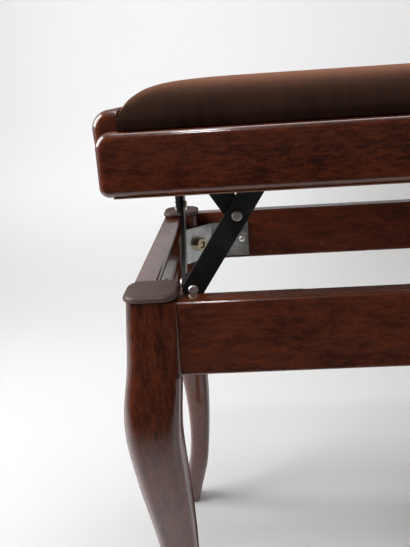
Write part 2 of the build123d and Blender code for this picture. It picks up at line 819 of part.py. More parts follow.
front_guide = guide_rail(to_front, front_web, *front_guide_span, (own_slot, far_slot))
end_guide = guide_rail(to_end, end_web, *end_guide_span, (own_slot,))
for place, out in all_guide_screws():
    hole = rod(screw_shank / 2 + assembly_gap, tuple(place), tuple(place + out * guide_thickness))
    front_guide -= hole
    end_guide -= hole
parts["front_guide_rail"] = front_guide
parts["back_guide_rail"] = half_turn(front_guide)
parts["left_guide_rail"] = end_guide
parts["right_guide_rail"] = half_turn(end_guide)
parts["guide_screws"] = as_group([screw(place, out, guide_thickness) for place, out in all_guide_screws()])
top_rivets = [upper_rivet(to_front), upper_rivet(to_end)]
parts["upper_rivets"] = as_group(top_rivets + [half_turn(s) for s in top_rivets])

for near_side, far_side, scheme in (("front", "back", to_front), ("left", "right", to_end)):
    pieces = {"arm": arm(scheme), "link": link(scheme), "middle_rivet": middle_rivet(scheme)}
    for name, shape in pieces.items():
        parts[f"{near_side}_{name}"] = shape
        parts[f"{far_side}_{name}"] = half_turn(shape)
parts["left_slide_pin"] = slide_pin()
parts["right_slide_pin"] = half_turn(parts["left_slide_pin"])

parts["left_crossbar"] = crossbar()
parts["right_crossbar"] = half_turn(parts["left_crossbar"])
parts["left_nut_block"] = nut_block()
parts["right_nut_block"] = half_turn(parts["left_nut_block"])
parts["spindle"] = spindle()
left_bush = bush()
parts["spindle_bushes"] = as_group([left_bush, half_turn(left_bush)])
parts["left_knob"] = knob()
parts["right_knob"] = half_turn(parts["left_knob"])

os.makedirs("parts", exist_ok=True)
for name, shape in parts.items():
    export_step(shape, f"parts/{name}.step")
print(len(parts), "nodes, seat", round(seat_bottom, 2), "to", round(seat_top, 2), "caps", round(cap_top, 2))
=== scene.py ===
"""Height-adjustable piano stool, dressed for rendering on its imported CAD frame."""

import json
import logging
import math
from dataclasses import dataclass, field
from enum import Enum

import bmesh
import bpy
import numpy as np
from bpy.types import ID, Material, Mesh, Node, NodeOutputs, NodeSocket, NodeTree, Object
from mathutils import Matrix, Vector

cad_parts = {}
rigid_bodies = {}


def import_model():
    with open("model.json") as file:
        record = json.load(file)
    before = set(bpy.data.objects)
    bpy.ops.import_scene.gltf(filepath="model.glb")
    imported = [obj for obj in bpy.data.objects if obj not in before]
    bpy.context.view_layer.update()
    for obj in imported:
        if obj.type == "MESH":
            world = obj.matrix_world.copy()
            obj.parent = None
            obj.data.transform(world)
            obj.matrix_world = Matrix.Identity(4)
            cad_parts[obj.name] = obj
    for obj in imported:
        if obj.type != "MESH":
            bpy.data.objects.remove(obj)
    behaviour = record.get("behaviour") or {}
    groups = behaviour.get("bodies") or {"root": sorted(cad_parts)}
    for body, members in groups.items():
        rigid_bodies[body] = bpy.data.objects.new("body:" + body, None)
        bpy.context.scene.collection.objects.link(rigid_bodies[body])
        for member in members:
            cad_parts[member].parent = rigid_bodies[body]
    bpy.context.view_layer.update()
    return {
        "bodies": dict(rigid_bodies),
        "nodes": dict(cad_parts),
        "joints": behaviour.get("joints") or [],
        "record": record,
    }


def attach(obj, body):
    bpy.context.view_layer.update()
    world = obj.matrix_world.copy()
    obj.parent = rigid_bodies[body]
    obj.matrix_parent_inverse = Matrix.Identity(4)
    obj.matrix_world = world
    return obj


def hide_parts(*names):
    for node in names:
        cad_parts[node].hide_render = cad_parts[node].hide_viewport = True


LOG = logging.getLogger("piano_stool")
MM = 0.001
QUARTER = math.pi / 2
MIX_FACTOR, MIX_FIRST, MIX_SECOND, MIX_COLOUR = 0, 6, 7, 2
Array = np.ndarray
Colour = tuple[float, float, float]
Point = tuple[float, float, float]
Frame = dict[str, dict]


class Grain(Enum):
    """Direction in which a wooden piece's grain runs."""

    ALONG_X = (0.26, 1.0, 1.0)
    ALONG_Y = (1.0, 0.26, 1.0)
    ALONG_Z = (1.0, 1.0, 0.26)


class Hand(Enum):
    """Hand of a screw thread."""

    RIGHT = 1
    LEFT = -1


class NodeSheet:
    """Adds nodes to one node tree and joins their sockets."""

    def __init__(self, tree: NodeTree) -> None:
        """Keeps the tree that the nodes go into."""
        self.tree = tree

    def feed(self, node: Node, inputs: dict) -> None:
        """Joins output sockets to a node's inputs and sets its constants, colours with full alpha.

        Args:
            node: the node that is fed.
            inputs: socket name or index to a constant or an output socket.
        """
        for name, value in inputs.items():
            socket = node.inputs[name]
            if isinstance(value, NodeSocket):
                self.tree.links.new(value, socket)
            else:
                socket.default_value = (*value, 1.0) if socket.type == "RGBA" else value

    def add(self, kind: str, inputs: dict | None = None, **settings: object) -> Node:
        """Adds one node.

        Args:
            kind: Blender's name of the node type.
            inputs: socket name or index to a constant or an output socket.
            settings: the node's own properties.

        Returns:
            The new node.
        """
        node = self.tree.nodes.new(kind)
        for name, value in settings.items():
            setattr(node, name, value)
        self.feed(node, inputs or {})
        return node

    def maths(self, operation: str, *values: object) -> NodeSocket:
        """Joins values with one arithmetic node and returns its result."""
        return self.add("ShaderNodeMath", dict(enumerate(values)), operation=operation).outputs[0]

    def blend(self, *parts: tuple[NodeSocket, float]) -> NodeSocket:
        """Sum of values, each times its weight."""
        total, *others = (self.maths("MULTIPLY", value, weight) for value, weight in parts)
        for other in others:
            total = self.maths("ADD", total, other)
        return total

    def noise(self, vector: NodeSocket, scale: object, detail: float) -> NodeSocket:
        """Fractal noise at a number of cells per metre."""
        inputs = {"Vector": vector, "Scale": scale, "Detail": detail, "Roughness": 0.55}
        return self.add("ShaderNodeTexNoise", inputs).outputs[0]

    def step(
        self, value: object, low: float, high: float, start: object = 0.0, end: object = 1.0
    ) -> NodeSocket:
        """Smooth step of a value from one level to another."""
        inputs = dict(enumerate((value, low, high, start, end)))
        return self.add("ShaderNodeMapRange", inputs, interpolation_type="SMOOTHSTEP").outputs[0]

    def mix(self, factor: object, first: object, second: object) -> NodeSocket:
        """Mixes two colours, each a socket or a constant."""
        inputs = {MIX_FACTOR: factor, MIX_FIRST: first, MIX_SECOND: second}
        return self.add("ShaderNodeMix", inputs, data_type="RGBA").outputs[MIX_COLOUR]

    def bump(self, height: NodeSocket, strength: float, depth: float) -> NodeSocket:
        """Normal of a height, with the depth in metres."""
        inputs = {"Height": height, "Strength": strength, "Distance": depth}
        return self.add("ShaderNodeBump", inputs).outputs[0]

    def axes(self, vector: NodeSocket) -> NodeOutputs:
        """A vector's three parts."""
        return self.add("ShaderNodeSeparateXYZ", {0: vector}).outputs

    def stretched(self, vector: NodeSocket, scale: Point) -> NodeSocket:
        """A vector scaled along each axis."""
        return self.add("ShaderNodeMapping", {"Vector": vector, "Scale": scale}).outputs[0]

    def effect(self, tree: NodeTree, place: NodeSocket, **values: object) -> NodeOutputs:
        """Outputs of a shared effect, read at a place."""
        return self.add("ShaderNodeGroup", {"Vector": place} | values, node_tree=tree).outputs


def new_group(
    name: str, inputs: dict[str, str], outputs: tuple[str, ...]
) -> tuple[NodeSheet, dict, Node]:
    """Makes an empty shader node group that reads a place.

    Args:
        name: the group's name.
        inputs: names of the sockets beside the place, with their kinds.
        outputs: socket names; the one named Color is a colour and the others are values.

    Returns:
        The group's sheet, its input sockets by name and its output node.
    """
    tree = bpy.data.node_groups.new(name, "ShaderNodeTree")
    inputs = {"Vector": "Vector"} | inputs
    for label, kind in inputs.items():
        tree.interface.new_socket(label, in_out="INPUT", socket_type=f"NodeSocket{kind}")
    for label in outputs:
        kind = "Color" if label == "Color" else "Float"
        tree.interface.new_socket(label, in_out="OUTPUT", socket_type=f"NodeSocket{kind}")
    entry = tree.nodes.new("NodeGroupInput")
    ways_in = {label: entry.outputs[label] for label in inputs}
    return NodeSheet(tree), ways_in, tree.nodes.new("NodeGroupOutput")


class Effects:
    """Shared surface effects as node groups, each built once. Scales are cells per metre."""

    BANDS, CLOUD, STREAKS, FLECKS, PORES = 110.0, 22.0, 430.0, 1350.0, 2400.0
    NAP_LINES, NAP_PATCHES, FIBRES = 210.0, 26.0, 2600.0
    NAP_WAY = (1.0, 0.12, 0.12)
    SCUFFS_TO_SMUDGES = 9.0

    def __init__(self) -> None:
        """Builds the groups."""
        self.figure = self._figure()
        self.handling = self._handling()
        self.pile = self._pile()

    def grained(
        self, sheet: NodeSheet, place: NodeSocket, grain: Grain, *colours: Colour
    ) -> NodeOutputs:
        """Figure of a wooden piece along its grain, from its deep, body and fleck colours."""
        values = dict(zip(("Deep", "Body", "Fleck"), colours))
        return sheet.effect(self.figure, sheet.stretched(place, grain.value), **values)

    def _figure(self) -> NodeTree:
        """Stained beech: slow bands, streaks, short ray flecks and dark pores along the grain."""
        colours = dict.fromkeys(("Deep", "Body", "Fleck"), "Color")
        sheet, ways_in, out = new_group("stained_beech", colours, ("Color", "Roughness", "Height"))
        place = ways_in["Vector"]
        bands = sheet.step(sheet.noise(place, self.BANDS, 3.0), 0.36, 0.64)
        cloud = sheet.step(sheet.noise(place, self.CLOUD, 2.0), 0.34, 0.66)
        streaks = sheet.step(sheet.noise(place, self.STREAKS, 3.0), 0.39, 0.61)
        fleck = sheet.step(sheet.noise(place, self.FLECKS, 2.0), 0.52, 0.68)
        pores = sheet.step(sheet.noise(place, self.PORES, 1.0), 0.58, 0.72)
        tone = sheet.blend((bands, 0.30), (cloud, 0.30), (streaks, 0.40))
        base = sheet.mix(tone, ways_in["Deep"], ways_in["Body"])
        flecked = sheet.mix(sheet.maths("MULTIPLY", fleck, 0.38), base, ways_in["Fleck"])
        sheet.feed(out, {
            "Color": sheet.mix(sheet.maths("MULTIPLY", pores, 0.40), flecked, ways_in["Deep"]),
            "Roughness": sheet.step(tone, 0.0, 1.0, 0.34, 0.26),
            "Height": sheet.blend((fleck, 0.3), (pores, -1.0)),
        })
        return sheet.tree

    def _handling(self) -> NodeTree:
        """Marks of use: smudges and fine scuffs that dull a surface here and there."""
        values = dict.fromkeys(("Scale", "Clean", "Marked"), "Float")
        sheet, ways_in, out = new_group("handling_marks", values, ("Roughness", "Mask"))
        scale = sheet.maths("MULTIPLY", ways_in["Scale"], self.SCUFFS_TO_SMUDGES)
        wide = {"Vector": ways_in["Vector"], "Scale": ways_in["Scale"], "Detail": 4.0}
        fine = wide | {"Scale": scale, "Detail": 3.0}
        smudge = sheet.step(sheet.add("ShaderNodeTexNoise", wide).outputs[0], 0.42, 0.68)
        scuff = sheet.step(sheet.add("ShaderNodeTexNoise", fine).outputs[0], 0.55, 0.72)
        mask = sheet.maths("MINIMUM", sheet.blend((smudge, 1.0), (scuff, 0.6)), 1.0)
        sheet.feed(out, {
            "Mask": mask,
            "Roughness": sheet.step(mask, 0.0, 1.0, ways_in["Clean"], ways_in["Marked"]),
        })
        return sheet.tree

    def _pile(self) -> NodeTree:
        """Short pile: brushed patches, faint streaks down the nap and the fibres themselves."""
        sheet, ways_in, out = new_group("brushed_pile", {}, ("Nap", "Height"))
        place = ways_in["Vector"]
        nap_place = sheet.stretched(place, self.NAP_WAY)
        streaks = sheet.step(sheet.noise(nap_place, self.NAP_LINES, 2.0), 0.36, 0.68)
        patches = sheet.step(sheet.noise(place, self.NAP_PATCHES, 3.0), 0.32, 0.70)
        nap = sheet.blend((streaks, 0.4), (patches, 0.6))
        height = sheet.blend((nap, 0.35), (sheet.noise(place, self.FIBRES, 1.0), 1.0))
        sheet.feed(out, {"Nap": nap, "Height": height})
        return sheet.tree


class Finish:
    """Look of one material. Each kind of finish says what its shader is fed."""

    name: str

    def inputs(self, sheet: NodeSheet, place: NodeSocket, effects: Effects) -> dict:
        """Inputs of the principled shader.

        Args:
            sheet: the material's nodes.
            place: the object coordinates.
            effects: the shared effects.

        Returns:
            Socket name to a constant or an output socket.
        """
        raise NotImplementedError

    def material(self, effects: Effects) -> Material:
        """Builds the material."""
        material = bpy.data.materials.new(self.name)
        material.use_nodes = True
        sheet = NodeSheet(material.node_tree)
        shader = next(n for n in material.node_tree.nodes if n.type == "BSDF_PRINCIPLED")
        place = sheet.add("ShaderNodeTexCoord").outputs["Object"]
        sheet.feed(shader, self.inputs(sheet, place, effects))
        return material


@dataclass(frozen=True)
class Lacquer(Finish):
    """Red-brown stain under a clear gloss lacquer, satin and greyer above a height in metres."""

    grain: Grain
    satin_from: float = 9.0
    satin_blend: float = 0.0006
    deep: Colour = (0.0220, 0.0040, 0.0017)
    body: Colour = (0.1120, 0.0215, 0.0066)
    fleck: Colour = (0.1600, 0.0370, 0.0118)
    satin: Colour = (0.0720, 0.0470, 0.0400)
    clear_rough: float = 0.10
    satin_rough: float = 0.38
    satin_coat: float = 0.45

    @property
    def name(self) -> str:
        """The material's name, after its grain."""
        return f"lacquer_{self.grain.name.lower()}"

    def inputs(self, sheet: NodeSheet, place: NodeSocket, effects: Effects) -> dict:
        """Grain along the piece, and less gloss where it is seen at a slant."""
        figure = effects.grained(sheet, place, self.grain, self.deep, self.body, self.fleck)
        satin_to = self.satin_from + self.satin_blend
        satin = sheet.step(sheet.axes(place)[2], self.satin_from, satin_to)
        facing = sheet.add("ShaderNodeLayerWeight", {"Blend": 0.5}).outputs["Facing"]
        slant = sheet.step(facing, 0.60, 0.93, 1.0, 0.05)
        coat = sheet.step(satin, 0.0, 1.0, 1.0, self.satin_coat)
        relief = sheet.maths("MULTIPLY", figure["Height"], sheet.step(satin, 0.0, 1.0, 1.0, 0.0))
        return {
            "Base Color": sheet.mix(satin, figure["Color"], self.satin),
            "Roughness": sheet.maths("MAXIMUM", figure["Roughness"], satin),
            "Specular IOR Level": sheet.step(facing, 0.50, 0.90, 0.2, 0.0),
            "IOR": 1.45,
            "Coat Weight": sheet.maths("MULTIPLY", slant, coat),
            "Coat Roughness": sheet.step(satin, 0.0, 1.0, self.clear_rough, self.satin_rough),
            "Coat IOR": 1.5,
            "Normal": sheet.bump(relief, 0.12, 0.06 * MM),
        }


@dataclass(frozen=True)
class Pile(Finish):
    """Velvet or felt, with a lighter sheen where the pile is seen from the side."""

    name: str
    low: Colour
    high: Colour
    sheen: float
    sheen_tint: Colour
    sheen_roughness: float
    gloss: float
    bump: float
    depth: float

    def inputs(self, sheet: NodeSheet, place: NodeSocket, effects: Effects) -> dict:
        """Nap in two tones under a sheen."""
        pile = sheet.effect(effects.pile, place)
        return {
            "Base Color": sheet.mix(pile["Nap"], self.low, self.high),
            "Roughness": 0.95,
            "Specular IOR Level": self.gloss,
            "Sheen Weight": self.sheen,
            "Sheen Roughness": self.sheen_roughness,
            "Sheen Tint": self.sheen_tint,
            "Normal": sheet.bump(pile["Height"], self.bump, self.depth * MM),
        }


@dataclass(frozen=True)
class HandledSurface(Finish):
    """Metal or plastic whose gloss changes with the marks of use."""

    name: str
    clean_colour: Colour
    marked_colour: Colour
    clean_roughness: float
    marked_roughness: float
    mark_scale: float
    metallic: float = 1.0
    bump: float = 0.1

    def inputs(self, sheet: NodeSheet, place: NodeSocket, effects: Effects) -> dict:
        """Clean and marked places in two colours."""
        roughness = {"Clean": self.clean_roughness, "Marked": self.marked_roughness}
        marks = sheet.effect(effects.handling, place, Scale=self.mark_scale, **roughness)
        return {
            "Base Color": sheet.mix(marks["Mask"], self.clean_colour, self.marked_colour),
            "Roughness": marks["Roughness"],
            "Metallic": self.metallic,
            "Normal": sheet.bump(marks["Mask"], self.bump, 0.1 * MM),
        }


@dataclass(frozen=True)
class Spangle(Finish):
    """Galvanised sheet with its crystal spangle."""

    name = "galvanised"
    dark: Colour = (0.30, 0.31, 0.31)
    light: Colour = (0.62, 0.63, 0.62)
    crystals: float = 190.0

    def inputs(self, sheet: NodeSheet, place: NodeSocket, effects: Effects) -> dict:
        """Crystals in greys under the marks of use."""
        cells = sheet.add("ShaderNodeTexVoronoi", {"Vector": place, "Scale": self.crystals})
        marks = sheet.effect(effects.handling, place, Scale=60.0, Clean=0.30, Marked=0.52)
        tone = sheet.add("ShaderNodeSeparateColor", {0: cells.outputs["Color"]}).outputs[0]
        grey = sheet.blend((tone, 0.6), (marks["Mask"], 0.4))
        return {
            "Base Color": sheet.mix(grey, self.light, self.dark),
            "Roughness": marks["Roughness"],
            "Metallic": 1.0,
        }


@dataclass(frozen=True)
class Plywood(Finish):
    """Bare birch plywood: grain on its faces, plies along its edges."""

    name = "plywood"
    face: Colour = (0.44, 0.29, 0.165)
    fleck: Colour = (0.55, 0.3625, 0.20625)
    dark: Colour = (0.22, 0.125, 0.065)
    ply: float = 1.33 * MM

    def inputs(self, sheet: NodeSheet, place: NodeSocket, effects: Effects) -> dict:
        """Grain, darker in every other ply of an upright face."""
        figure = effects.grained(sheet, place, Grain.ALONG_X, self.dark, self.face, self.fleck)
        layer = sheet.maths("PINGPONG", sheet.axes(place)[2], self.ply)
        band = sheet.step(layer, 0.35 * self.ply, 0.65 * self.ply)
        upright = sheet.axes(sheet.add("ShaderNodeNewGeometry").outputs["Normal"])[2]
        edge = sheet.step(sheet.maths("ABSOLUTE", upright), 0.3, 0.7, 0.55, 0.0)
        plies = sheet.maths("MULTIPLY", band, edge)
        return {
            "Base Color": sheet.mix(plies, figure["Color"], self.dark),
            "Roughness": 0.68,
            "Normal": sheet.bump(figure["Height"], 0.3, 0.1 * MM),
        }


@dataclass(frozen=True)
class Paper(Finish):
    """Matt off-white paper, as it is shown to the camera and dimmed to gloss before the stool."""

    name = "paper_sweep"
    first: Colour = (0.80, 0.80, 0.805)
    second: Colour = (0.84, 0.84, 0.842)
    shaded_near_floor: Colour = (0.53, 0.53, 0.53)
    lit_far_floor: Colour = (0.68, 0.68, 0.68)
    wall: Colour = (0.87, 0.87, 0.88)
    shaded: Colour = (0.53, 0.525, 0.515)
    mirrored: Colour = (0.016, 0.015, 0.014)

    def inputs(self, sheet: NodeSheet, place: NodeSocket, effects: Effects) -> dict:
        """Paper that lights the stool evenly, and shows the camera a wall above a grey floor, with
        painted shade: the floor painted darker near the camera and lighter far off, and painted
        shade low down towards the right.
        """
        paper = sheet.mix(sheet.noise(place, 3.0, 2.0), self.first, self.second)
        ray = sheet.add("ShaderNodeLightPath").outputs
        across, depth, height = sheet.axes(place)
        # painted shade: darker low down towards the right, where the stool's shadow falls
        low = sheet.step(height, 0.15, 0.60, 1.0, 0.0)
        shade = sheet.maths("MULTIPLY", sheet.step(across, -0.30, 0.42), low)
        # painted light fall-off: the floor darker near the camera and lighter far off
        floor = sheet.mix(sheet.step(depth, -0.1, 0.8), self.shaded_near_floor, self.lit_far_floor)
        lit = sheet.mix(sheet.step(height, 0.0, 0.3), floor, self.wall)
        shown = sheet.mix(shade, lit, self.shaded)
        seen = sheet.mix(ray["Is Camera Ray"], paper, shown)
        ahead = sheet.step(depth, -0.75, -0.20, 1.0, 0.0)
        dim = sheet.maths("MULTIPLY", ahead, ray["Is Glossy Ray"])
        return {
            "Base Color": sheet.mix(dim, seen, self.mirrored),
            "Roughness": 0.9,
            "Specular IOR Level": 0.0,
        }


WHITE = (1.0, 1.0, 1.0)
VELVET = Pile(
    "velvet", (0.0060, 0.0025, 0.0017), (0.0150, 0.0062, 0.0038), sheen=0.54,
    sheen_tint=(0.76, 0.35, 0.215), sheen_roughness=0.43, gloss=0.05, bump=0.5, depth=0.3,
)
FELT = Pile(
    "felt", (0.180, 0.085, 0.058), (0.290, 0.145, 0.098), sheen=0.2,
    sheen_tint=WHITE, sheen_roughness=0.5, gloss=0.1, bump=0.6, depth=0.4,
)
ENAMEL = HandledSurface(
    "black_enamel", (0.007, 0.007, 0.0072), (0.012, 0.012, 0.012), 0.42, 0.55, 55.0, metallic=0.0
)
ZINC = HandledSurface("yellow_zinc", (0.56, 0.50, 0.31), (0.40, 0.37, 0.27), 0.32, 0.48, 240.0)
NICKEL = HandledSurface("dull_nickel", (0.84, 0.80, 0.74), (0.62, 0.59, 0.54), 0.46, 0.62, 300.0)
TURNED = HandledSurface("turned_steel", (0.46, 0.46, 0.46), (0.27, 0.265, 0.26), 0.24, 0.45, 90.0)
PLASTIC = HandledSurface(
    "black_plastic", (0.010, 0.010, 0.010), (0.020, 0.020, 0.019), 0.40, 0.62, 120.0,
    metallic=0.0, bump=0.2,
)
CAPPED_LEG = Lacquer(Grain.ALONG_Z, satin_from=389.9 * MM)


class Palette:
    """Every material of the stool and its backdrop."""

    def __init__(self) -> None:
        """Builds the shared effects and the materials."""
        effects = Effects()
        self.along_x = Lacquer(Grain.ALONG_X).material(effects)
        self.along_y = Lacquer(Grain.ALONG_Y).material(effects)
        self.capped_leg = CAPPED_LEG.material(effects)
        self.velvet = VELVET.material(effects)
        self.enamel = ENAMEL.material(effects)
        self.galvanised = Spangle().material(effects)
        self.yellow_zinc = ZINC.material(effects)
        self.nickel = NICKEL.material(effects)
        self.turned = TURNED.material(effects)
        self.plastic = PLASTIC.material(effects)
        self.felt = FELT.material(effects)
        self.plywood = Plywood().material(effects)
        self.paper = Paper().material(effects)


def ring_mesh(name: str, grid: Array) -> Mesh:
    """Mesh of rings of points, with its first and last ring filled.

    Args:
        name: the mesh's name.
        grid: points in metres, rows by columns by three.

    Returns:
        The mesh, its faces pointing outwards.
    """
    index = np.arange(grid.shape[0] * grid.shape[1]).reshape(grid.shape[:2])
    beside = np.roll(index, -1, axis=1)
    quads = np.stack([index[:-1], beside[:-1], beside[1:], index[1:]], axis=-1).reshape(-1, 4)
    faces = [*quads.tolist(), index[0, ::-1].tolist(), index[-1].tolist()]
    mesh = bpy.data.meshes.new(name)
    mesh.from_pydata(grid.reshape(-1, 3).tolist(), [], faces)
    return tidy_mesh(mesh)


def tidy_mesh(mesh: Mesh, sharp_angle: float = 38.0, merge: float = 1e-6) -> Mesh:
    """Merges doubles, turns the faces outwards and shades the mesh smooth up to an angle."""
    work = bmesh.new()
    work.from_mesh(mesh)
    bmesh.ops.remove_doubles(work, verts=work.verts, dist=merge)
    bmesh.ops.recalc_face_normals(work, faces=work.faces)
    work.to_mesh(mesh)
    work.free()
    mesh.polygons.foreach_set("use_smooth", np.ones(len(mesh.polygons), dtype=bool))
    mesh.set_sharp_from_angle(angle=math.radians(sharp_angle))
    mesh.update()
    return mesh


def vertex_points(mesh: Mesh) -> Array:
    """A mesh's vertices, one in each row."""
    points = np.empty(len(mesh.vertices) * 3)
    mesh.vertices.foreach_get("co", points)
    return points.reshape(-1, 3)


def join_meshes(name: str, meshes: list[Mesh]) -> Mesh:
    """One mesh of several separate shells."""
    work = bmesh.new()
    for mesh in meshes:
        work.from_mesh(mesh)
        bpy.data.meshes.remove(mesh)
    joined = bpy.data.meshes.new(name)
    work.to_mesh(joined)
    work.free()
    return tidy_mesh(joined)


def add_object(name: str, data: ID) -> Object:
    """Puts a mesh, lamp or camera in the scene."""
    thing = bpy.data.objects.new(name, data)
    bpy.context.scene.collection.objects.link(thing)
    return thing


def baked(mesh: Mesh, kind: str, **settings: object) -> Mesh:
    """Copy of a mesh with one modifier's work in it.

    Args:
        mesh: the mesh to start from.
        kind: Blender's name of the modifier type.
        settings: the modifier's own properties.

    Returns:
        The new mesh.
    """
    trial = add_object("trial", mesh)
    modifier = trial.modifiers.new("trial", kind)
    for name, value in settings.items():
        setattr(modifier, name, value)
    shaped = trial.evaluated_get(bpy.context.evaluated_depsgraph_get())
    result = bpy.data.meshes.new_from_object(shaped)
    bpy.data.objects.remove(trial)
    return result


def place_piece(mesh: Mesh, material: Material, body: str, node: str) -> Object:
    """Puts a mesh in the scene in place of a CAD node.

    Args:
        mesh: the piece's mesh, already in its place.
        material: its material.
        body: the CAD body that it rides on.
        node: the CAD node that it stands for.

    Returns:
        The new object.
    """
    piece = add_object(mesh.name, mesh)
    mesh.materials.clear()
    mesh.materials.append(material)
    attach(piece, body)
    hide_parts(node)
    LOG.info("piece %s with %d faces", piece.name, len(mesh.polygons))
    return piece


def smooth_copy(frame: Frame, node: str) -> Mesh:
    """Merged and smoothly shaded copy of a CAD node's mesh, its flat faces shaded flat."""
    mesh = frame["nodes"][node].data.copy()
    if mesh.has_custom_normals:
        mesh.normals_split_custom_set([(0.0, 0.0, 0.0)] * len(mesh.loops))
    weighted = baked(tidy_mesh(mesh), "WEIGHTED_NORMAL", keep_sharp=True, weight=100)
    weighted.name = f"smooth_{node}"
    return weighted


def place_copies(frame: Frame, material: Material, body: str, slot: str, *nodes: str) -> None:
    """Puts smooth copies of CAD nodes in their places."""
    for node in nodes:
        place_piece(smooth_copy(frame, node), material, body, node)


def dress(frame: Frame, material: Material, *nodes: str) -> None:
    """Gives CAD nodes their material."""
    for node in nodes:
        data = frame["nodes"][node].data
        data.materials.clear()
        data.materials.append(material)
        LOG.info("dressed %s", node)


def rounded_square(width: Array, radius: Array, outer: Array, samples: int = 9) -> Array:
    """Rings of rounded squares about the origin.

    Each corner is a quarter circle about its own centre, half the width less
    the radius from both axes, and the straight sides join the quarter circles.

    Args:
        width: side lengths, one for each ring.
        radius: radii of three corners, one for each ring.
        outer: radii of the fourth corner, at minus x and minus y.
        samples: points on each quarter circle.

    Returns:
        Points, rings by four times samples by two.
    """
    turn = np.linspace(0.0, QUARTER, samples)
    angle = np.concatenate([turn + corner * QUARTER for corner in range(4)])
    sign_x = np.repeat([1.0, -1.0, -1.0, 1.0], samples)
    sign_y = np.repeat([1.0, 1.0, -1.0, -1.0], samples)
    is_outer = (sign_x < 0) & (sign_y < 0)
    radii = np.where(is_outer[None, :], outer[:, None], radius[:, None])
    centre = width[:, None] / 2 - radii
    x = centre * sign_x + radii * np.cos(angle)
    y = centre * sign_y + radii * np.sin(angle)
    return np.stack([x, y], axis=-1)


def natural_spline(at: Array, values: Array, where: Array) -> Array:
    """Natural cubic spline through values, read at other places.

    The second derivatives solve the usual tridiagonal equations with zero at
    both ends, and each span is the cubic that they give.

    Args:
        at: increasing places of the values.
        values: the values there.
        where: places to read.

    Returns:
        The spline's values.
    """
    gap = np.diff(at)
    matrix = np.diag(np.r_[1.0, 2 * (gap[:-1] + gap[1:]), 1.0])
    matrix += np.diag(np.r_[gap[:-1], 0.0], -1) + np.diag(np.r_[0.0, gap[1:]], 1)
    bend = np.linalg.solve(matrix, np.r_[0.0, 6 * np.diff(np.diff(values) / gap), 0.0])
    span = np.clip(np.searchsorted(at, where) - 1, 0, len(gap) - 1)
    width = gap[span]
    result = np.zeros(len(where))
    for end, run in ((span, at[span + 1] - where), (span + 1, where - at[span])):
        result += values[end] * run / width + bend[end] * (run**3 / width - width * run) / 6
    return result


def turned_mesh(name: str, along: Array, radius: Array, start: Point, way: Point) -> Mesh:
    """Surface about an axis, its radius free to change around it.

    Args:
        name: the mesh's name.
        along: distances from the start in millimetres, one for each ring or rings by sides.
        radius: radii there, rings by sides.
        start: the axis's start in millimetres.
        way: the axis's direction.

    Returns:
        The closed mesh in metres.
    """
    axis = np.array(Vector(way).normalized())
    side = np.array(Vector(way).orthogonal().normalized())
    other = np.cross(axis, side)
    angle = np.linspace(0.0, 4 * QUARTER, radius.shape[1], endpoint=False)
    lengths = along if along.ndim == 2 else np.broadcast_to(along[:, None], radius.shape)
    around = np.cos(angle)[:, None] * side + np.sin(angle)[:, None] * other
    grid = np.array(start) + lengths[..., None] * axis + radius[..., None] * around
    return ring_mesh(name, grid * MM)


@dataclass(frozen=True)
class Thread:
    """Rounded V thread whose ridge climbs one pitch in each turn."""

    crest: float
    depth: float
    pitch: float
    sides: int

    def radius(self, along: Array, hand: Hand) -> Array:
        """Radii at distances along the axis, rings by sides."""
        phase = along[:, None] / self.pitch - hand.value * np.arange(self.sides) / self.sides
        ridge = 0.5 + 0.5 * np.cos(4 * QUARTER * phase)
        return self.crest - self.depth * (1.0 - ridge)


SIDES = ("front", "back", "left", "right")
CORNERS = {
    "front_left": (1, 1), "front_right": (-1, 1), "back_left": (1, -1), "back_right": (-1, -1)
}
WOOD = "lacquered_wood"


